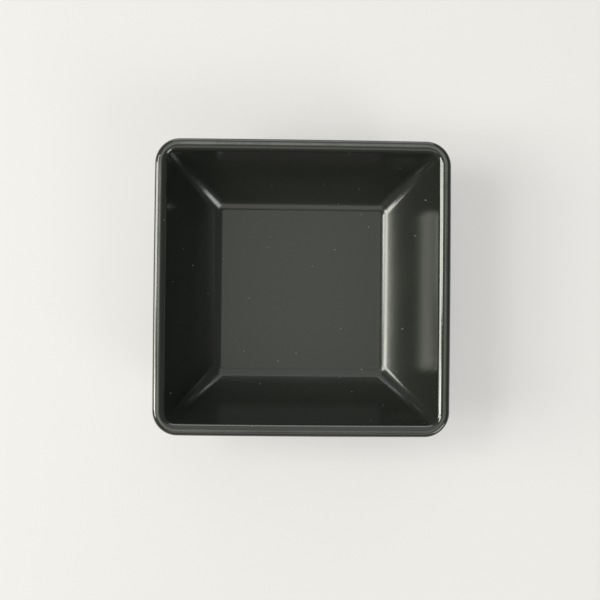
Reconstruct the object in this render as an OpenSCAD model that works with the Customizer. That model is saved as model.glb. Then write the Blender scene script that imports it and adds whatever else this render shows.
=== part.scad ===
// Square sauce dish: a compression-moulded melamine body with a glaze layer on its eating side.
// The dish stands on its foot ring at z = 0, with its middle over the origin.

/* [Dish] */
// Width over the lip, the same both ways
dish_w = 90; // [76:1:104]
// Plan radius of the lip's outer corners
rim_corner_r = 7.5; // [5.5:0.1:9]
// Thickness of the walls and of the floor, glaze included
wall_t = 3; // [2.4:0.1:3.6]

/* [Well] */
// Depth from the crown of the lip to the floor
well_d = 23; // [19:0.5:28]
// Width of the flat floor, inside its fillets
floor_w = 50; // [42:0.5:54]
// Radius of the fillet between the floor and a wall
floor_fillet_r = 5; // [3.5:0.1:6.5]
// Radius of the hollow in each sloping wall
wall_hollow_r = 40; // [30:1:80]
// Plan radius of the flat floor's corners
floor_corner_r = 1.2; // [0.8:0.1:3]
// Plan radius of the well's corners where the fillet meets the wall
fillet_corner_r = 3.2; // [1.5:0.1:4.5]
// Plan radius of the well's corners at the top of the wall
wall_corner_r = 3; // [1.5:0.1:4.5]

/* [Lip] */
// Radius of the lip's roll towards the well
lip_in_r = 2.3; // [1.8:0.1:2.8]
// Radius of the lip's roll towards the outside
lip_out_r = 1.4; // [1.2:0.1:1.8]
// Width of the flat along the lip's crown
lip_flat_w = 0.35; // [0.05:0.05:0.6]
// Height of the upright band under the lip's outer roll
bead_band_h = 1.2; // [0.8:0.1:2]
// Radius under the bead, where it turns in to the wall
bead_under_r = 0.9; // [0.5:0.05:1.2]
// Radius of the cove between the bead and the outer wall
bead_cove_r = 1.2; // [0.8:0.1:2]

/* [Foot] */
// How far the foot ring stands out past the flat floor
foot_out = 2; // [0.5:0.1:3.5]
// Plan radius of the ring's corners, outside and inside alike
foot_corner_r = 4; // [3:0.1:6]
// Height of the foot ring below the underside of the floor
foot_h = 1.5; // [1:0.1:2]
// Width of the ring itself, from flank to flank
foot_ring_w = 2.6; // [2:0.1:4]
// Radius of the ring's lower edges
foot_edge_r = 0.4; // [0.2:0.05:0.6]
// Radius of the coves at the root of the ring
foot_cove_r = 0.8; // [0.5:0.05:1]

/* [Glaze] */
// Thickness of the glaze layer on the eating side
glaze_t = 0.3; // [0.2:0.05:0.4]

/* [Hidden] */

// Steps in each quarter turn of a corner in plan
corner_steps = 7;
// Steps along the floor fillet, along the hollow wall and along each roll of the lip
fillet_steps = 6;
wall_steps = 9;
roll_steps = 7;
// Steps along the bead, the coves and the edges of the foot
small_steps = 4;
// How far a cut runs past the face that it opens
overrun = 1;

// Heights
floor_top_z = foot_h + wall_t;
crown_z = floor_top_z + well_d;
band_foot_z = crown_z - lip_out_r - bead_band_h;
// Width of the foot ring, outside
foot_w = floor_w + 2 * foot_out;

// Centres of the arcs that make the profile, as [distance from the middle, height]
fillet_c = [floor_w / 2, floor_top_z + floor_fillet_r];
lip_out_c = [dish_w / 2 - lip_out_r, crown_z - lip_out_r];
lip_in_c = [lip_out_c.x - lip_flat_w, crown_z - lip_in_r];
bead_c = [dish_w / 2 - bead_under_r, band_foot_z];

// The point at given distances from two centres, on the left of the line from a to b
function meet_left(a, ra, b, rb) =
    let (d = norm(b - a), u = (b - a) / d, s = (d * d + ra * ra - rb * rb) / (2 * d))
    a + s * u + sqrt(ra * ra - s * s) * [-u.y, u.x];

// Centre of the wall's hollow, which runs smoothly into the floor fillet and the lip
hollow_c = meet_left(fillet_c, wall_hollow_r - floor_fillet_r, lip_in_c, wall_hollow_r + lip_in_r);
// Centre of the cove under the bead, which touches the bead and the outside of the wall
bead_cove_c = meet_left(bead_c, bead_under_r + bead_cove_r, hollow_c, wall_hollow_r + wall_t + bead_cove_r);
// Centre of the cove outside the foot ring, which touches the ring and the turn of the wall
foot_cove_x = foot_w / 2 + foot_cove_r;
foot_cove_reach = floor_fillet_r + wall_t + foot_cove_r;
foot_cove_c = [
    foot_cove_x,
    fillet_c.y - sqrt(foot_cove_reach * foot_cove_reach - pow(foot_cove_x - fillet_c.x, 2))
];

// Direction from one point to another, in degrees
function heading(from, to) = atan2(to.y - from.y, to.x - from.x);

// Angles at which the arcs of the profile meet
fillet_end = heading(hollow_c, fillet_c);
wall_end = heading(hollow_c, lip_in_c);
cove_top = heading(bead_cove_c, bead_c);
cove_foot = heading(bead_cove_c, hollow_c);
outer_wall_top = cove_foot - 180;
turn_foot = heading(fillet_c, foot_cove_c);

// Half width of the well where its fillet meets the wall, and where the wall turns into the lip
fillet_top_x = fillet_c.x + floor_fillet_r * cos(fillet_end);
wall_top_x = lip_in_c.x - lip_in_r * cos(wall_end);
// Distance of the corners' centres from the middle, at the lip and at the foot
rim_corner_c = dish_w / 2 - rim_corner_r;
foot_corner_c = foot_w / 2 - foot_corner_r;
// Where the well's corners are set, as [half width of the well, distance of their centres]
corner_stops = [
    [fillet_c.x, fillet_c.x - floor_corner_r],
    [fillet_top_x, fillet_top_x - fillet_corner_r],
    [wall_top_x, wall_top_x - wall_corner_r],
    [lip_in_c.x, rim_corner_c]
];

// A section of the dish is [half width, height, distance of its corners' centres]
function section(p, c) = [p.x, p.y, c];

// Points of an arc of the profile, from angle a to angle b
function arc(c, r, a, b, steps) =
    [for (i = [0:steps]) let (t = a + (b - a) * i / steps) c + r * [cos(t), sin(t)]];

// Arc of the eating side, or of a face at a depth below it.
// Each section keeps the corners of the finished surface above it.
function well_arc(c, r, sink, a, b, steps) =
    let (on = arc(c, r, a, b, steps), in = arc(c, r + sink, a, b, steps))
    [for (i = [0:steps]) section(in[i], lookup(on[i].x, corner_stops))];

// Eating side of the dish from the floor to the lip's crown, sunk below the finished surface
function well_sections(sink) = concat(
    well_arc(fillet_c, floor_fillet_r, sink, -90, fillet_end, fillet_steps),
    tail(well_arc(hollow_c, wall_hollow_r, sink, fillet_end, wall_end, wall_steps)),
    tail(well_arc(lip_in_c, lip_in_r, -sink, wall_end + 180, 90, roll_steps))
);

// All but the first item of a list
function tail(list) = [for (i = [1:len(list) - 1]) list[i]];

// Outside of the lip down to its widest line, where the glaze thins out to nothing
function lip_out_sections(sink) = [
    for (i = [0:roll_steps])
        let (t = 90 * (1 - i / roll_steps), r = lip_out_r - sink * (1 - i / roll_steps))
        section(lip_out_c + r * [cos(t), sin(t)], rim_corner_c)
];

// Sections of an outline whose corner centres move evenly from one distance to another
function run_in(points, from_c, to_c) =
    let (last = len(points) - 1)
    [for (i = [0:last]) section(points[i], from_c + (to_c - from_c) * i / last)];

// Outside of the dish from under its widest line down to the face that it stands on
bead_sections = run_in(
    arc(bead_c, bead_under_r, 0, cove_top - 180, small_steps), rim_corner_c, rim_corner_c
);
outer_wall_sections = well_arc(
    hollow_c, wall_hollow_r, wall_t, outer_wall_top, fillet_end, wall_steps
);
cove_sections = run_in(
    arc(bead_cove_c, bead_cove_r, cove_top, cove_foot, small_steps),
    rim_corner_c,
    outer_wall_sections[0][2]
);
turn_sections = well_arc(fillet_c, floor_fillet_r, wall_t, fillet_end, turn_foot, small_steps);
foot_cove_sections = run_in(
    arc(foot_cove_c, foot_cove_r, turn_foot + 180, 180, small_steps),
    turn_sections[small_steps][2],
    foot_corner_c
);
foot_edge_sections = run_in(
    arc([foot_w / 2 - foot_edge_r, foot_edge_r], foot_edge_r, 0, -90, small_steps),
    foot_corner_c,
    foot_corner_c
);
outside_sections = concat(
    bead_sections,
    tail(cove_sections),
    tail(outer_wall_sections),
    tail(turn_sections),
    tail(foot_cove_sections),
    foot_edge_sections
);

// Hollow under the floor, inside the foot ring
recess_w = foot_w - 2 * foot_ring_w;
recess_corner_c = recess_w / 2 - foot_corner_r;
recess_edge_x = recess_w / 2 + foot_edge_r;
recess_sections = run_in(
    concat(
        [[recess_edge_x, -overrun], [recess_edge_x, 0]],
        tail(arc([recess_edge_x, foot_edge_r], foot_edge_r, -90, -180, small_steps)),
        arc([recess_w / 2 - foot_cove_r, foot_h - foot_cove_r], foot_cove_r, 0, 90, small_steps)
    ),
    recess_corner_c,
    recess_corner_c
);

// Plan outline of one section: a square with round corners, as a ring of points
function ring(s) = [
    for (k = [0:3], i = [0:corner_steps])
        let (t = 90 * (k + i / corner_steps), q = 90 * k + 45, reach = s[2] * norm([1, 1]))
        [
            reach * cos(q) + (s.x - s[2]) * cos(t),
            reach * sin(q) + (s.x - s[2]) * sin(t),
            s.y
        ]
];

// Solid lofted through a list of sections and closed at both ends.
// The first section is the end that faces up, unless the list runs upwards.
module loft(sections, upwards = false) {
    n = 4 * (corner_steps + 1);
    last = len(sections) - 1;
    points = [for (s = sections) each ring(s)];
    sides = [
        for (j = [0:last - 1], i = [0:n - 1])
            let (a = j * n + i, b = j * n + (i + 1) % n)
            each [[a, b, b + n], [a, b + n, a + n]]
    ];
    ends = [[for (i = [n - 1:-1:0]) i], [for (i = [0:n - 1]) last * n + i]];
    faces = concat(sides, ends);
    polyhedron(points, upwards ? [for (f = faces) [for (i = [len(f) - 1:-1:0]) f[i]]] : faces);
}

// Moulded body: well, lip, walls of even thickness and foot ring in one piece
module dish_body() {
    color([0.055, 0.058, 0.054])
    difference() {
        loft(concat(
            well_sections(glaze_t),
            lip_out_sections(glaze_t),
            outside_sections
        ));
        loft(recess_sections, upwards = true);
    }
}

// Glaze layer: covers the floor, the walls of the well and the lip to its widest line
module glaze_coat() {
    top = concat(well_sections(0), lip_out_sections(0));
    under = concat(well_sections(glaze_t), lip_out_sections(glaze_t));
    color([0.03, 0.032, 0.029])
    loft(concat(top, [for (i = [len(under) - 2:-1:0]) under[i]]));
}

dish_body();
glaze_coat();
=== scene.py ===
"""A small square black sauce dish of glazed melamine, seen from above on a pale table."""

import logging
import math
from dataclasses import dataclass, field
from enum import Enum
from typing import Callable, NamedTuple

import bpy
from mathutils import Euler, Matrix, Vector, noise


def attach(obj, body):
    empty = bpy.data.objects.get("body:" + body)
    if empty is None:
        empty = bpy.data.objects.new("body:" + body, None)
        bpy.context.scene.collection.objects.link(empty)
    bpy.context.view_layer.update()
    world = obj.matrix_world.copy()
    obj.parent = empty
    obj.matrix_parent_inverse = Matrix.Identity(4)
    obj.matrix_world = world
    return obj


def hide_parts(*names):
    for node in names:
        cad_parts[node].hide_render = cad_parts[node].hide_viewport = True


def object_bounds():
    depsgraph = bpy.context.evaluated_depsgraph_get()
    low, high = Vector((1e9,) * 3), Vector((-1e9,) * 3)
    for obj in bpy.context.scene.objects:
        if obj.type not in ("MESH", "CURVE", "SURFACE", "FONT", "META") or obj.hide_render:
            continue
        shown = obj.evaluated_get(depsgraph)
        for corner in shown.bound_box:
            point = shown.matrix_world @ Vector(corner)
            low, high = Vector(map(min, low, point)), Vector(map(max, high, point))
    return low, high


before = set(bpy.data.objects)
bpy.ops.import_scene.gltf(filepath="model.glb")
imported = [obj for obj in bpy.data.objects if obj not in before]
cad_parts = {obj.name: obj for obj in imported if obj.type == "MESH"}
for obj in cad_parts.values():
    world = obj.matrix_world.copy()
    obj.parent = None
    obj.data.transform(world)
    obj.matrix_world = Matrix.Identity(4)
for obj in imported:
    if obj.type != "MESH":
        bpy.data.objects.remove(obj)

LOG = logging.getLogger("sauce_dish")
MM = 0.001
CAD_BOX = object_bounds()

# Strength of the faintest specks of dust, and the share of a speck's radius that is solid
FAINTEST_SPECK = 0.15
SPECK_CORE = 0.4

Colour = tuple[float, float, float]
Point = tuple[float, float]


class Section(NamedTuple):
    """One level outline of the dish: a square with round corners."""

    half: float
    height: float
    corner: float


class Fineness(Enum):
    """How finely an arc of the profile is drawn, as steps along it."""

    LONG = 28
    ROLL = 24
    SMALL = 10


class Ray(Enum):
    """Kinds of light path that a surface can tell apart."""

    CAMERA = "Is Camera Ray"
    GLOSSY = "Is Glossy Ray"
    TRANSMISSION = "Is Transmission Ray"


def arc(centre: Point, radius: float, start: float, end: float, steps: int) -> list[Point]:
    """Draws an arc of the profile.

    Args:
        centre: Centre, as distance from the middle and height.
        radius: Radius of the arc.
        start: Angle of its first point, in radians.
        end: Angle of its last point, in radians.
        steps: Number of steps along it.

    Returns:
        The points from start to end.
    """
    angles = (start + (end - start) * i / steps for i in range(steps + 1))
    return [(centre[0] + radius * math.cos(a), centre[1] + radius * math.sin(a)) for a in angles]


def heading(start: Point, end: Point) -> float:
    """Returns the direction from one point of the profile to another, in radians."""
    return math.atan2(end[1] - start[1], end[0] - start[0])


def meet_left(a: Point, a_reach: float, b: Point, b_reach: float) -> Point:
    """Finds the point at given distances from two centres.

    Args:
        a: First centre.
        a_reach: Distance from the first centre.
        b: Second centre.
        b_reach: Distance from the second centre.

    Returns:
        The point on the left of the line from a to b.
    """
    span = math.dist(a, b)
    along = ((b[0] - a[0]) / span, (b[1] - a[1]) / span)
    foot = (span**2 + a_reach**2 - b_reach**2) / (2 * span)
    rise = math.sqrt(a_reach**2 - foot**2)
    return (a[0] + foot * along[0] - rise * along[1], a[1] + foot * along[1] + rise * along[0])


@dataclass(frozen=True)
class DishForm:
    """Sizes of the dish in metres, and the outlines that follow from them."""

    width: float
    crown: float
    rim_corner_radius: float = 7.5 * MM
    wall: float = 3 * MM
    well_depth: float = 23 * MM
    floor_width: float = 50 * MM
    floor_corner_radius: float = 1.2 * MM
    fillet_corner_radius: float = 3.2 * MM
    wall_corner_radius: float = 3 * MM
    fillet_radius: float = 5 * MM
    hollow_radius: float = 40 * MM
    lip_in_radius: float = 2.3 * MM
    lip_out_radius: float = 1.4 * MM
    lip_flat: float = 0.35 * MM
    band_height: float = 1.2 * MM
    bead_radius: float = 0.9 * MM
    bead_cove_radius: float = 1.2 * MM
    foot_width: float = 54 * MM
    foot_corner_radius: float = 4 * MM
    foot_height: float = 1.5 * MM
    foot_ring_width: float = 2.6 * MM
    foot_edge_radius: float = 0.4 * MM
    foot_cove_radius: float = 0.8 * MM
    glaze: float = 0.3 * MM

    @property
    def floor_top(self) -> float:
        """Height of the floor of the well."""
        return self.crown - self.well_depth

    @property
    def fillet_centre(self) -> Point:
        """Centre of the fillet between floor and wall."""
        return (self.floor_width / 2, self.floor_top + self.fillet_radius)

    @property
    def lip_out_centre(self) -> Point:
        """Centre of the lip's outer roll."""
        return (self.width / 2 - self.lip_out_radius, self.crown - self.lip_out_radius)

    @property
    def lip_in_centre(self) -> Point:
        """Centre of the lip's inner roll."""
        return (self.lip_out_centre[0] - self.lip_flat, self.crown - self.lip_in_radius)

    @property
    def hollow_centre(self) -> Point:
        """Centre of the wall's hollow, which touches the fillet and the lip."""
        return meet_left(
            self.fillet_centre,
            self.hollow_radius - self.fillet_radius,
            self.lip_in_centre,
            self.hollow_radius + self.lip_in_radius,
        )

    @property
    def fillet_end(self) -> float:
        """Angle at which the fillet meets the wall."""
        return heading(self.hollow_centre, self.fillet_centre)

    @property
    def wall_end(self) -> float:
        """Angle at which the wall meets the lip."""
        return heading(self.hollow_centre, self.lip_in_centre)

    @property
    def fillet_top(self) -> float:
        """Half width of the well where its fillet turns into the wall."""
        return self.fillet_centre[0] + self.fillet_radius * math.cos(self.fillet_end)

    @property
    def wall_top(self) -> float:
        """Half width of the well where its wall turns into the lip."""
        return self.lip_in_centre[0] - self.lip_in_radius * math.cos(self.wall_end)

    @property
    def rim_corner(self) -> float:
        """Distance of the rim's corner centres from the middle."""
        return self.width / 2 - self.rim_corner_radius

    def corner_at(self, half: float) -> float:
        """Finds where the centres of the plan corners lie.

        Args:
            half: Half width of the well at this height.

        Returns:
            Their distance from the middle, along each axis.
        """
        foot = self.floor_width / 2
        stops = (
            (foot, foot - self.floor_corner_radius),
            (self.fillet_top, self.fillet_top - self.fillet_corner_radius),
            (self.wall_top, self.wall_top - self.wall_corner_radius),
            (self.lip_in_centre[0], self.rim_corner),
        )
        for (start, low), (end, high) in zip(stops, stops[1:]):
            if half <= end:
                return low + (high - low) * max(0.0, (half - start) / (end - start))
        return self.rim_corner

    def sunk_arc(
        self, centre: Point, radius: float, sink: float, start: float, end: float, steps: int
    ) -> list[Section]:
        """Draws an arc of the eating side, sunk below the finished surface.

        Args:
            centre: Centre of the arc.
            radius: Radius of the finished surface.
            sink: Radius added to it.
            start: Angle of the first point.
            end: Angle of the last point.
            steps: Number of steps along it.

        Returns:
            Sections that keep the corners of the finished surface above them.
        """
        surface = arc(centre, radius, start, end, steps)
        sunk = arc(centre, radius + sink, start, end, steps)
        return [Section(p[0], p[1], self.corner_at(q[0])) for p, q in zip(sunk, surface)]

    def floor(self, sink: float) -> list[Section]:
        """Lists shrinking outlines of the flat floor.

        Args:
            sink: Depth below the finished surface.

        Returns:
            Sections from its middle to its fillet, closer together near the fillet.
        """
        half = self.floor_width / 2
        corner = self.corner_at(half)
        shares = (0.02, 0.15, 0.3, 0.45, 0.6, 0.75, 0.88, 0.95, 0.99)
        return [Section(half * s, self.floor_top - sink, corner * s) for s in shares]

    def well(self, sink: float) -> list[Section]:
        """Lists the whole eating side.

        Args:
            sink: Depth below the finished surface.

        Returns:
            Sections from the floor's middle to the lip's crown.
        """
        fillet = self.sunk_arc(
            self.fillet_centre,
            self.fillet_radius,
            sink,
            -math.pi / 2,
            self.fillet_end,
            Fineness.ROLL.value,
        )
        wall = self.sunk_arc(
            self.hollow_centre,
            self.hollow_radius,
            sink,
            self.fillet_end,
            self.wall_end,
            Fineness.LONG.value,
        )
        lip = self.sunk_arc(
            self.lip_in_centre,
            self.lip_in_radius,
            -sink,
            self.wall_end + math.pi,
            math.pi / 2,
            Fineness.ROLL.value,
        )
        return self.floor(sink) + fillet + wall[1:] + lip[1:]

    def lip_outside(self, sink: float) -> list[Section]:
        """Lists the lip's outer roll, on which the glaze thins out.

        Args:
            sink: Depth below the finished surface at the crown.

        Returns:
            Sections from the crown to the lip's widest line.
        """
        x, z = self.lip_out_centre
        steps = Fineness.ROLL.value
        sections = []
        for i in range(steps + 1):
            left = 1 - i / steps
            angle, radius = math.pi / 2 * left, self.lip_out_radius - sink * left
            half, height = x + radius * math.cos(angle), z + radius * math.sin(angle)
            sections.append(Section(half, height, self.rim_corner))
        return sections

    def outside(self) -> list[Section]:
        """Lists the outside of the dish.

        Returns:
            Sections from the band under the lip to the face that the dish stands on.
        """
        bead = (self.width / 2 - self.bead_radius, self.crown - self.lip_out_radius - self.band_height)
        cove = meet_left(
            bead,
            self.bead_radius + self.bead_cove_radius,
            self.hollow_centre,
            self.hollow_radius + self.wall + self.bead_cove_radius,
        )
        cove_top, cove_foot = heading(cove, bead), heading(cove, self.hollow_centre)
        small = Fineness.SMALL.value
        bead_points = arc(bead, self.bead_radius, 0, cove_top - math.pi, small)
        cove_points = arc(cove, self.bead_cove_radius, cove_top, cove_foot, small)
        wall = self.sunk_arc(
            self.hollow_centre,
            self.hollow_radius,
            self.wall,
            cove_foot - math.pi,
            self.fillet_end,
            Fineness.LONG.value,
        )
        reach = self.fillet_radius + self.wall + self.foot_cove_radius
        root_x = self.foot_width / 2 + self.foot_cove_radius
        root_z = self.fillet_centre[1] - math.sqrt(reach**2 - (root_x - self.fillet_centre[0]) ** 2)
        root = (root_x, root_z)
        turn_foot = heading(self.fillet_centre, root)
        turn = self.sunk_arc(
            self.fillet_centre, self.fillet_radius, self.wall, self.fillet_end, turn_foot, small
        )
        root_points = arc(root, self.foot_cove_radius, turn_foot + math.pi, math.pi, small)
        foot_corner = self.foot_width / 2 - self.foot_corner_radius
        edge = (self.foot_width / 2 - self.foot_edge_radius, self.foot_edge_radius)
        edge_points = arc(edge, self.foot_edge_radius, 0, -math.pi / 2, small)
        return (
            [Section(*p, self.rim_corner) for p in bead_points]
            + self.run_in(cove_points, self.rim_corner, wall[0].corner)
            + wall[1:]
            + turn[1:]
            + self.run_in(root_points, turn[-1].corner, foot_corner)
            + [Section(*p, foot_corner) for p in edge_points]
        )

    @staticmethod
    def run_in(points: list[Point], start: float, end: float) -> list[Section]:
        """Makes sections of all points but the first, whose corner centres run from start to end."""
        last = len(points) - 1
        return [Section(*p, start + (end - start) * i / last) for i, p in enumerate(points) if i > 0]

    def under_foot(self) -> list[Section]:
        """Lists the hollow inside the foot ring.

        Returns:
            Sections from the ring's face to the middle of the hollow.
        """
        half = self.foot_width / 2 - self.foot_ring_width
        corner = half - self.foot_corner_radius
        edge = (half + self.foot_edge_radius, self.foot_edge_radius)
        cove = (half - self.foot_cove_radius, self.foot_height - self.foot_cove_radius)
        small = Fineness.SMALL.value
        points = arc(edge, self.foot_edge_radius, -math.pi / 2, -math.pi, small) + arc(
            cove, self.foot_cove_radius, 0, math.pi / 2, small
        )
        sections = [Section(*p, corner) for p in points]
        shares = (0.97, 0.85, 0.65, 0.4, 0.2, 0.03)
        return sections + [
            Section(cove[0] * s, self.foot_height, corner * s * cove[0] / half) for s in shares
        ]


@dataclass(frozen=True)
class Loft:
    """A closed mesh drawn through sections, with finer steps next to the corners."""

    sections: list[Section]
    side_steps: int = 28
    corner_steps: int = 16

    def ring(self, section: Section) -> list[Vector]:
        """Draws one section.

        Args:
            section: The section.

        Returns:
            Its points, counterclockwise seen from above.
        """
        radius = section.half - section.corner
        points = []
        for quarter in range(4):
            turn = math.pi / 2 * quarter
            for i in range(self.corner_steps + 1):
                angle = math.pi / 2 * i / self.corner_steps
                x = section.corner + radius * math.cos(angle)
                y = section.corner + radius * math.sin(angle)
                points.append(self.turned(x, y, section.height, turn))
            for i in range(1, self.side_steps):
                along = section.corner * math.cos(math.pi * i / self.side_steps)
                points.append(self.turned(along, section.half, section.height, turn))
        return points

    @staticmethod
    def turned(x: float, y: float, z: float, turn: float) -> Vector:
        """Returns a point turned about the dish's upright axis."""
        cosine, sine = math.cos(turn), math.sin(turn)
        return Vector((x * cosine - y * sine, x * sine + y * cosine, z))

    def build(self, name: str, relief: Callable[[Vector], Vector]) -> bpy.types.Object:
        """Makes the mesh object.

        Args:
            name: Name of the object and its mesh.
            relief: Gives the point of the real, slightly uneven surface for a true one.

        Returns:
            The object, linked to the scene.
        """
        rings = [[relief(p) for p in self.ring(s)] for s in self.sections]
        count = len(rings[0])
        last = (len(rings) - 1) * count
        faces = [tuple(range(count)), tuple(last + i for i in reversed(range(count)))]
        for start in range(0, last, count):
            for i in range(count):
                here, beside = start + i, start + (i + 1) % count
                faces.append((here, here + count, beside + count, beside))
        mesh = bpy.data.meshes.new(name)
        mesh.from_pydata([p for ring in rings for p in ring], [], faces)
        mesh.validate()
        mesh.shade_smooth()
        piece = bpy.data.objects.new(name, mesh)
        bpy.context.scene.collection.objects.link(piece)
        return piece


class Shade:
    """A number that varies over a surface, whose operators write Math nodes."""

    def __init__(self, graph: "Graph", socket: bpy.types.NodeSocket) -> None:
        """Wraps an output socket of a graph's node."""
        self.graph = graph
        self.socket = socket

    def _math(self, operation: str, first: "Value", second: "Value") -> "Shade":
        """Writes one Math node and returns its result."""
        node = self.graph.node("ShaderNodeMath", {"operation": operation}, {0: first, 1: second})
        return Shade(self.graph, node.outputs[0])

    def __add__(self, other: "Value") -> "Shade":
        """Returns self + other."""
        return self._math("ADD", self, other)

    def __radd__(self, other: "Value") -> "Shade":
        """Returns other + self."""
        return self._math("ADD", other, self)

    def __sub__(self, other: "Value") -> "Shade":
        """Returns self - other."""
        return self._math("SUBTRACT", self, other)

    def __rsub__(self, other: "Value") -> "Shade":
        """Returns other - self."""
        return self._math("SUBTRACT", other, self)

    def __mul__(self, other: "Value") -> "Shade":
        """Returns self * other."""
        return self._math("MULTIPLY", self, other)

    def __rmul__(self, other: "Value") -> "Shade":
        """Returns other * self."""
        return self._math("MULTIPLY", other, self)

    def __or__(self, other: "Value") -> "Shade":
        """Returns the larger of self and other, so that masks join."""
        return self._math("MAXIMUM", self, other)

    def __ror__(self, other: "Value") -> "Shade":
        """Returns the larger of other and self."""
        return self._math("MAXIMUM", other, self)

    def __gt__(self, edge: "Value") -> "Shade":
        """Returns 1 where self is over the edge, otherwise 0."""
        return self._math("GREATER_THAN", self, edge)

    def __lt__(self, edge: "Value") -> "Shade":
        """Returns 1 where self is under the edge, otherwise 0."""
        return self._math("LESS_THAN", self, edge)


Value = float | Shade


class Graph:
    """The node tree of one material."""

    def __init__(self, name: str) -> None:
        """Makes an empty material.

        Args:
            name: The material's name.
        """
        self.material = bpy.data.materials.new(name)
        self.material.use_nodes = True
        self.tree = self.material.node_tree
        self.tree.nodes.clear()

    def node(
        self, kind: str, settings: dict | None = None, inputs: dict | None = None
    ) -> bpy.types.Node:
        """Adds a node.

        Args:
            kind: The node's type.
            settings: Values of its own properties, which are set first.
            inputs: Values or links of its sockets, by name or place.

        Returns:
            The node.
        """
        node = self.tree.nodes.new(kind)
        for key, value in (settings or {}).items():
            setattr(node, key, value)
        for key, value in (inputs or {}).items():
            source = value.socket if isinstance(value, Shade) else value
            if isinstance(source, bpy.types.NodeSocket):
                self.tree.links.new(source, node.inputs[key])
            else:
                node.inputs[key].default_value = source
        return node

    def shade(self, node: bpy.types.Node, output: str | int = 0) -> Shade:
        """Wraps a node's output as a number to reckon with."""
        return Shade(self, node.outputs[output])

    def mix(
        self, low: Colour | bpy.types.NodeSocket, high: Colour, factor: Shade
    ) -> bpy.types.NodeSocket:
        """Mixes two colours.

        Args:
            low: Colour where the factor is 0, plain or from another node.
            high: Colour where the factor is 1.
            factor: Share of the second colour.

        Returns:
            The socket of the mixed colour.
        """
        first = low if isinstance(low, bpy.types.NodeSocket) else (*low, 1.0)
        node = self.node(
            "ShaderNodeMix", {"data_type": "RGBA"}, {"Factor": factor, 6: first, 7: (*high, 1.0)}
        )
        return node.outputs[2]

    def place(self) -> bpy.types.NodeSocket:
        """Returns the place on the dish, in metres."""
        return self.node("ShaderNodeTexCoord").outputs["Object"]

    def ray(self, kind: Ray) -> Shade:
        """Returns 1 for one kind of light path and 0 for the others."""
        return self.shade(self.node("ShaderNodeLightPath"), kind.value)

    def along(self, place: bpy.types.NodeSocket, axis: str) -> Shade:
        """Returns how far a place lies along one axis."""
        return self.shade(self.node("ShaderNodeSeparateXYZ", inputs={"Vector": place}), axis)

    def grain(self, place: bpy.types.NodeSocket, size: float, detail: float = 2.0) -> Shade:
        """Makes soft noise.

        Args:
            place: Where on the surface.
            size: Width of its lumps, in metres.
            detail: Number of finer layers.

        Returns:
            Numbers around 0.5.
        """
        inputs = {"Vector": place, "Scale": 1 / size, "Detail": detail}
        return self.shade(self.node("ShaderNodeTexNoise", inputs=inputs))

    def smooth(self, value: Shade, start: float, end: float) -> Shade:
        """Makes a soft step.

        Args:
            value: The number that the step follows.
            start: Where the step is still 0.
            end: Where it has come to 1.

        Returns:
            Numbers from 0 to 1.
        """
        node = self.node(
            "ShaderNodeMapRange",
            {"interpolation_type": "SMOOTHSTEP"},
            {"Value": value, "From Min": start, "From Max": end},
        )
        return self.shade(node)

    def bump(self, height: Shade, rise: float) -> bpy.types.NodeSocket:
        """Returns the normals of a surface that rises by so many metres where height is 1."""
        inputs = {"Distance": rise, "Height": height}
        return self.node("ShaderNodeBump", inputs=inputs).outputs["Normal"]

    def stirred(self, place: bpy.types.NodeSocket, size: float, reach: float) -> bpy.types.NodeSocket:
        """Moves places about at random, so that what is drawn there loses its even shape.

        Args:
            place: Where on the surface.
            size: Distance over which the move changes.
            reach: How far a place moves at most.

        Returns:
            The moved place.
        """
        noise_push = self.node("ShaderNodeTexNoise", inputs={"Vector": place, "Scale": 1 / size})
        push = self.vector("SUBTRACT", {0: noise_push.outputs["Color"], 1: (0.5, 0.5, 0.5)})
        scaled = self.vector("SCALE", {0: push, "Scale": 2 * reach})
        return self.vector("ADD", {0: place, 1: scaled})

    def vector(self, operation: str, inputs: dict) -> bpy.types.NodeSocket:
        """Reckons with places or colours in one Vector Math node and returns its result."""
        return self.node("ShaderNodeVectorMath", {"operation": operation}, inputs).outputs[0]

    def specks(
        self,
        place: bpy.types.NodeSocket,
        spacing: float,
        radius: float,
        share: float,
        stretch: float = 1.0,
        slant: float = 0.5,
    ) -> Shade:
        """Scatters small specks over the surface, seen from above.

        Args:
            place: Where on the surface.
            spacing: Mean distance between places where a speck may lie.
            radius: Half the width of the largest specks.
            share: Share of the places that hold one.
            stretch: How many times longer than wide a speck is.
            slant: Direction in which it is long, in radians.

        Returns:
            1 on a speck and 0 elsewhere, soft at its edge.
        """
        laid = self.node(
            "ShaderNodeMapping",
            {"vector_type": "TEXTURE"},
            {"Vector": place, "Rotation": (0.0, 0.0, slant), "Scale": (stretch, 1.0, 1.0)},
        )
        cells = self.node(
            "ShaderNodeTexVoronoi",
            {"voronoi_dimensions": "2D"},
            {"Vector": laid.outputs[0], "Scale": 1 / spacing},
        )
        draw = self.node("ShaderNodeSeparateColor", inputs={"Color": cells.outputs["Color"]})
        chosen = self.shade(draw, "Red") > 1 - share
        lot = self.shade(draw, "Green")
        strength = lot * lot * (1 - FAINTEST_SPECK) + FAINTEST_SPECK
        edge = radius / spacing
        body = self.smooth(self.shade(cells, "Distance"), edge, edge * SPECK_CORE)
        return body * chosen * strength

    def close(self, shader: bpy.types.Node) -> bpy.types.Material:
        """Puts a shader on the surface and returns the material."""
        self.node("ShaderNodeOutputMaterial", inputs={"Surface": shader.outputs[0]})
        return self.material

    def finish(self, inputs: dict) -> bpy.types.Material:
        """Closes the graph with one shader for the whole surface and returns the material."""
        return self.close(self.node("ShaderNodeBsdfPrincipled", inputs=inputs))


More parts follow.
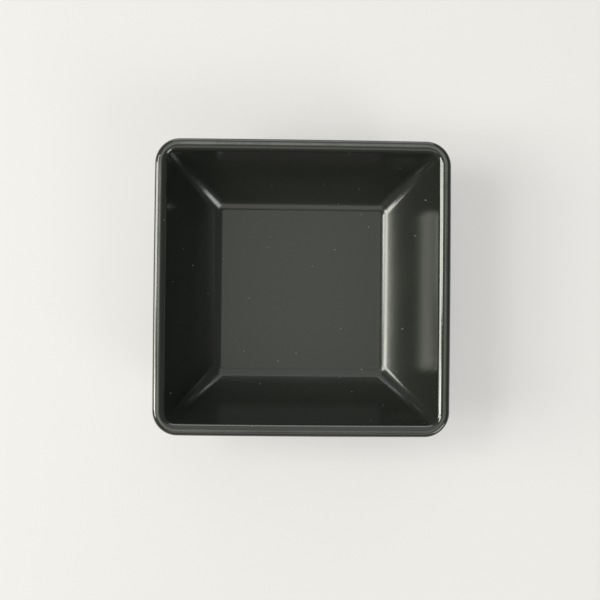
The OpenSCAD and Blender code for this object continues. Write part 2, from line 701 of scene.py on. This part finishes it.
@dataclass(frozen=True)
class GlazeFinish:
    """Smooth black glaze of the eating side, a little dusty, rubbed duller along the lip's crown, with
    a painted sheen there that stands in for the crown's reflection of the lamps above.
    """

    crown: float
    black: Colour = (0.015, 0.0165, 0.014)
    # The glaze's rubbed colour is a light grey painted along the crown: a painted sheen that stands in
    # for the crown's reflection of the lamps. The rubbing itself only dulls the roughness.
    rubbed: Colour = (0.125, 0.126, 0.119)
    rub_sheen_depth: float = 0.025 * MM
    rub_sheen_grain: float = 1.1 * MM
    rub_sheen_side_reach: float = 60 * MM
    rub_sheen_least: float = 0.4
    rub_sheen_even: float = 0.5
    rub_sheen_patchy: float = 0.8
    rub_dulling: float = 0.06
    dust: Colour = (0.30, 0.30, 0.28)
    dust_dulling: float = 0.5
    roughness: float = 0.20
    polish: float = 0.09
    polish_depth: float = 3 * MM
    unevenness: float = 0.04
    ior: float = 1.68
    cloud_size: float = 18 * MM
    cloud_tone: float = 1.2
    wave_size: float = 3 * MM
    wave_rise: float = 0.015 * MM
    speck_spacing: float = 8 * MM
    speck_radius: float = 0.22 * MM
    speck_share: float = 0.4
    speck_rag: float = 1.2 * MM
    speck_rag_reach: float = 0.2 * MM
    fibre_spacing: float = 7 * MM
    fibre_radius: float = 0.14 * MM
    fibre_share: float = 0.1
    fibre_stretch: float = 5.0
    fibre_curl: float = 4 * MM
    fibre_curl_reach: float = 1.5 * MM
    fibre_strength: float = 0.7

    def rub_and_sheen(self, graph: Graph, place: bpy.types.NodeSocket) -> Shade:
        """Finds the crown, which is rubbed duller by the dishes stacked on it and carries a painted
        sheen for its reflection of the lamps, both stronger along the top and left sides.

        Args:
            graph: The material's nodes.
            place: Where on the surface.

        Returns:
            Up to 1 along the crown, in patches, and 0 elsewhere.
        """
        low, high = self.crown - self.rub_sheen_depth, self.crown - self.rub_sheen_depth / 3
        top = graph.smooth(graph.along(place, "Z"), low, high)
        # Painted sheen: lighter along the top and left sides of the lip, where the crown's reflection
        # of the lamps is brighter
        aside = graph.along(place, "Y") - graph.along(place, "X")
        side = graph.smooth(aside, -self.rub_sheen_side_reach, self.rub_sheen_side_reach) * (1 - self.rub_sheen_least)
        patches = graph.grain(place, self.rub_sheen_grain, detail=4) * self.rub_sheen_patchy + self.rub_sheen_even
        return top * (side + self.rub_sheen_least) * patches

    def lip(self, graph: Graph, place: bpy.types.NodeSocket) -> Shade:
        """Returns 1 on the lip, which wiping keeps glossier than the well, and 0 below it."""
        low, high = self.crown - self.polish_depth, self.crown - self.polish_depth / 2
        return graph.smooth(graph.along(place, "Z"), low, high)

    def dust_mask(self, graph: Graph, place: bpy.types.NodeSocket) -> Shade:
        """Scatters the dust.

        Args:
            graph: The material's nodes.
            place: Where on the surface.

        Returns:
            Up to 1 on a speck of dust or a short fibre, and 0 elsewhere.
        """
        loose = graph.stirred(place, self.speck_rag, self.speck_rag_reach)
        curled = graph.stirred(place, self.fibre_curl, self.fibre_curl_reach)
        specks = graph.specks(loose, self.speck_spacing, self.speck_radius, self.speck_share)
        fibres = graph.specks(
            curled, self.fibre_spacing, self.fibre_radius, self.fibre_share, self.fibre_stretch
        )
        return specks | fibres * self.fibre_strength

    def material(self) -> bpy.types.Material:
        """Mixes the glaze.

        Returns:
            The material of the glaze layer.
        """
        graph = Graph("glaze_black")
        place = graph.place()
        cloud = graph.grain(place, self.cloud_size)
        waves = graph.grain(place, self.wave_size)
        rub_and_sheen = self.rub_and_sheen(graph, place)
        dust = self.dust_mask(graph, place)
        clouded = graph.mix(self.black, tuple(c * self.cloud_tone for c in self.black), cloud)
        # Painted sheen along the crown, mixed into the glaze's base colour
        with_painted_sheen = graph.mix(clouded, self.rubbed, rub_and_sheen)
        clean = self.roughness - self.lip(graph, place) * self.polish
        uneven = clean + (cloud - 0.5) * self.unevenness
        return graph.finish(
            {
                "Base Color": graph.mix(with_painted_sheen, self.dust, dust),
                "Roughness": uneven + rub_and_sheen * self.rub_dulling + dust * self.dust_dulling,
                "IOR": self.ior,
                "Normal": graph.bump(waves, self.wave_rise),
            }
        )


@dataclass(frozen=True)
class MouldedFinish:
    """Satin black of the moulded outside, rubbed where the foot ring stands."""

    black: Colour = (0.015, 0.0165, 0.014)
    rubbed: Colour = (0.060, 0.061, 0.057)
    roughness: float = 0.27
    unevenness: float = 0.08
    ior: float = 1.68
    cloud_size: float = 12 * MM
    scuff_size: float = 0.7 * MM
    scuff_edges: tuple[float, float] = (0.42, 0.62)
    wear_height: float = 0.12 * MM
    wear_dulling: float = 0.3
    pore_size: float = 0.4 * MM
    pore_rise: float = 0.002 * MM

    def wear(self, graph: Graph, place: bpy.types.NodeSocket) -> Shade:
        """Returns 1 where standing and sliding on tables has rubbed the foot ring."""
        low = 1 - graph.smooth(graph.along(place, "Z"), 0.0, self.wear_height)
        return low * graph.smooth(graph.grain(place, self.scuff_size, detail=5), *self.scuff_edges)

    def material(self) -> bpy.types.Material:
        """Mixes the moulded black.

        Returns:
            The material of the moulded body.
        """
        graph = Graph("moulded_black")
        place = graph.place()
        cloud = graph.grain(place, self.cloud_size)
        wear = self.wear(graph, place)
        pores = graph.grain(place, self.pore_size)
        uneven = self.roughness + (cloud - 0.5) * self.unevenness
        return graph.finish(
            {
                "Base Color": graph.mix(self.black, self.rubbed, wear),
                "Roughness": uneven + wear * self.wear_dulling,
                "IOR": self.ior,
                "Normal": graph.bump(pores, self.pore_rise),
            }
        )


@dataclass(frozen=True)
class Unevenness:
    """The small departures of a real moulding from its drawn form."""

    form: DishForm
    bow: float = 0.15 * MM
    ripple: float = 0.02 * MM
    ripple_length: float = 9 * MM
    ripple_below_crown: float = 4 * MM
    ripple_run_in: float = 2 * MM

    def relief(self, point: Vector) -> Vector:
        """Moves a point of the drawn form to where the moulding has it, never outwards.

        Args:
            point: The point as drawn.

        Returns:
            The point of the uneven surface.
        """
        half = self.form.width / 2
        above = point.z - self.form.crown + self.ripple_below_crown
        lip = min(1.0, max(0.0, above / self.ripple_run_in))
        reach = max(abs(point.x), abs(point.y)) / half
        off_x = self.bow * (point.y / half) ** 2 * reach * point.x / half
        off_y = self.bow * (point.x / half) ** 2 * reach * point.y / half
        wave = 0.5 + 0.5 * noise.noise(point / self.ripple_length)
        inward = lip * self.ripple * wave
        return Vector(
            (
                point.x - off_x - inward * point.x / half,
                point.y - off_y - inward * point.y / half,
                point.z - inward,
            )
        )


@dataclass
class Glaze:
    """The glaze layer: floor, walls and lip down to its widest line."""

    form: DishForm
    finish: GlazeFinish

    def build(self, relief: Callable[[Vector], Vector]) -> bpy.types.Object:
        """Makes the glaze layer and dresses it.

        Args:
            relief: Moves a drawn point to its real place.

        Returns:
            The finished piece.
        """
        top = self.form.well(0) + self.form.lip_outside(0)[1:]
        under = self.form.well(self.form.glaze) + self.form.lip_outside(self.form.glaze)
        piece = Loft(top + under[-2::-1]).build("glaze_layer", relief)
        piece.data.materials.append(self.finish.material())
        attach(piece, "root")
        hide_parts("glaze_coat")
        return piece


@dataclass
class Moulding:
    """The moulded body: the ground under the glaze, the outside and the foot ring."""

    form: DishForm
    finish: MouldedFinish = field(default_factory=MouldedFinish)

    def build(self, relief: Callable[[Vector], Vector]) -> bpy.types.Object:
        """Makes the moulded body and dresses it.

        Args:
            relief: Moves a drawn point to its real place.

        Returns:
            The finished piece.
        """
        glaze = self.form.glaze
        upper = self.form.well(glaze) + self.form.lip_outside(glaze)
        lower = self.form.outside() + self.form.under_foot()
        piece = Loft(upper + lower).build("moulded_dish", relief)
        piece.data.materials.append(self.finish.material())
        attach(piece, "root")
        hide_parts("dish_body")
        return piece


@dataclass(frozen=True)
class Lamp:
    """A soft oblong lamp that faces the dish, with angles in degrees and lengths in metres."""

    name: str
    azimuth: float
    elevation: float
    distance: float
    width: float
    height: float
    level: float
    tint: Colour = (1.0, 1.0, 1.0)

    def build(self) -> bpy.types.Object:
        """Places the lamp.

        Returns:
            The lamp, linked to the scene.
        """
        data = bpy.data.lights.new(self.name, "AREA")
        data.shape = "RECTANGLE"
        data.size, data.size_y = self.width, self.height
        data.energy = self.level * math.pi * self.width * self.height
        data.color = self.tint
        lamp = bpy.data.objects.new(self.name, data)
        turn, rise = math.radians(self.azimuth), math.radians(self.elevation)
        level_part = math.cos(rise)
        away = Vector((level_part * math.cos(turn), level_part * math.sin(turn), math.sin(rise)))
        lamp.location = away * self.distance
        lamp.rotation_euler = away.to_track_quat("Z", "Y").to_euler()
        lamp.visible_camera = False
        bpy.context.scene.collection.objects.link(lamp)
        return lamp


@dataclass(frozen=True)
class Table:
    """The plain pale table top that the dish stands on.

    What is seen of it is partly a glow, painted as a fade across the table that is darker on the
    window side and lighter on the far side to even out the lamps' falloff, and partly its lit face,
    which keeps the dish's soft shadow.
    """

    width: float = 6.0
    top: float = -0.05 * MM
    pale: Colour = (0.80, 0.78, 0.775)
    # Colours of the painted glow at the window side and at the far side, where the dish's shadow falls
    window_side: Colour = (0.69, 0.67, 0.67)
    far_side: Colour = (0.80, 0.78, 0.77)
    fade_reach: float = 130 * MM
    glow_share: float = 0.5

    def material(self) -> bpy.types.Material:
        """Mixes the table's finish.

        Returns:
            The material of the table top.
        """
        graph = Graph("table_top")
        place = graph.place()
        across = graph.smooth(graph.along(place, "X"), -self.fade_reach, self.fade_reach)
        # Painted shade and light: a glow darker on the window side and lighter on the far side,
        # evening out the lamps' falloff
        plain = graph.mix(self.window_side, self.far_side, across)
        seen = graph.ray(Ray.CAMERA) | graph.ray(Ray.GLOSSY) | graph.ray(Ray.TRANSMISSION)
        lit = graph.node("ShaderNodeBsdfDiffuse", inputs={"Color": (*self.pale, 1.0)})
        shown = graph.node("ShaderNodeEmission", inputs={"Color": plain})
        shares = {0: seen * self.glow_share, 1: lit.outputs[0], 2: shown.outputs[0]}
        return graph.close(graph.node("ShaderNodeMixShader", inputs=shares))

    def build(self) -> bpy.types.Object:
        """Makes the table top.

        Returns:
            The table top.
        """
        half = self.width / 2
        outline = ((-half, -half), (half, -half), (half, half), (-half, half))
        corners = [(x, y, self.top) for x, y in outline]
        mesh = bpy.data.meshes.new("table_top")
        mesh.from_pydata(corners, [], [(0, 1, 2, 3)])
        mesh.materials.append(self.material())
        top = bpy.data.objects.new("table_top", mesh)
        bpy.context.scene.collection.objects.link(top)
        return top


@dataclass(frozen=True)
class OverheadCamera:
    """The camera nearly straight above the dish, a little off its middle."""

    form: DishForm
    distance: float = 280 * MM
    aside: Point = (-7.1 * MM, -7.7 * MM)
    turn: tuple[float, float, float] = (0.80, -1.31, 0.56)
    lens: float = 55.8
    sensor: float = 36.0

    def build(self) -> bpy.types.Object:
        """Makes the camera and gives it to the scene.

        Returns:
            The camera.
        """
        data = bpy.data.cameras.new("overhead")
        data.lens, data.sensor_width, data.sensor_fit = self.lens, self.sensor, "HORIZONTAL"
        camera = bpy.data.objects.new("overhead", data)
        camera.location = (*self.aside, self.form.crown + self.distance)
        camera.rotation_euler = Euler([math.radians(a) for a in self.turn])
        bpy.context.scene.collection.objects.link(camera)
        bpy.context.scene.camera = camera
        return camera


@dataclass
class Studio:
    """Table, soft lamps, pale surroundings and camera."""

    form: DishForm
    surround: Colour = (0.165, 0.179, 0.177)
    lamps: tuple[Lamp, ...] = (
        Lamp(
            "window",
            azimuth=177.7, elevation=26.3, distance=0.9,
            width=0.34, height=0.50, level=9.69, tint=(0.97, 1.00, 0.87),
        ),
        Lamp(
            "window_side",
            azimuth=195.3, elevation=38.9, distance=0.9,
            width=0.20, height=0.36, level=11.20, tint=(1.00, 0.95, 0.92),
        ),
        Lamp(
            "window_top",
            azimuth=165.0, elevation=52.0, distance=0.9,
            width=0.30, height=0.21, level=11.88, tint=(0.98, 1.00, 0.91),
        ),
        Lamp(
            "corner",
            azimuth=315.0, elevation=36.7, distance=1.2,
            width=0.44, height=0.50, level=5.26, tint=(0.95, 1.00, 0.94),
        ),
        Lamp(
            "far_wall",
            azimuth=90.0, elevation=12.0, distance=1.2,
            width=1.00, height=0.36, level=2.60, tint=(0.95, 1.00, 0.97),
        ),
        Lamp(
            "far_ceiling",
            azimuth=90.0, elevation=48.0, distance=1.2,
            width=1.00, height=1.20, level=0.65, tint=(0.97, 1.00, 0.95),
        ),
        Lamp(
            "near_ceiling",
            azimuth=270.0, elevation=52.0, distance=1.2,
            width=1.00, height=0.70, level=0.83, tint=(1.00, 0.91, 0.83),
        ),
        Lamp(
            "zenith",
            azimuth=90.0, elevation=89.0, distance=1.2,
            width=0.50, height=0.47, level=0.74, tint=(0.94, 1.00, 0.83),
        ),
    )

    def build(self) -> None:
        """Sets up the table, the lamps, the surroundings and the camera."""
        world = bpy.data.worlds.new("surroundings")
        world.use_nodes = True
        world.node_tree.nodes["Background"].inputs["Color"].default_value = (*self.surround, 1.0)
        bpy.context.scene.world = world
        bpy.context.scene.view_settings.view_transform = "Standard"
        Table().build()
        for lamp in self.lamps:
            lamp.build()
        OverheadCamera(self.form).build()


def main() -> None:
    """Builds the dish and its studio, piece by piece."""
    logging.basicConfig(level=logging.INFO, format="%(name)s: %(message)s")
    low, high = CAD_BOX
    form = DishForm(width=high[0] - low[0], crown=high[2])
    relief = Unevenness(form).relief
    for maker in (Moulding(form), Glaze(form, GlazeFinish(form.crown))):
        piece = maker.build(relief)
        LOG.info("%s: %d faces", piece.name, len(piece.data.polygons))
    Studio(form).build()
    LOG.info("studio: table, lamps and camera are in place")


if __name__ == "__main__":
    main()
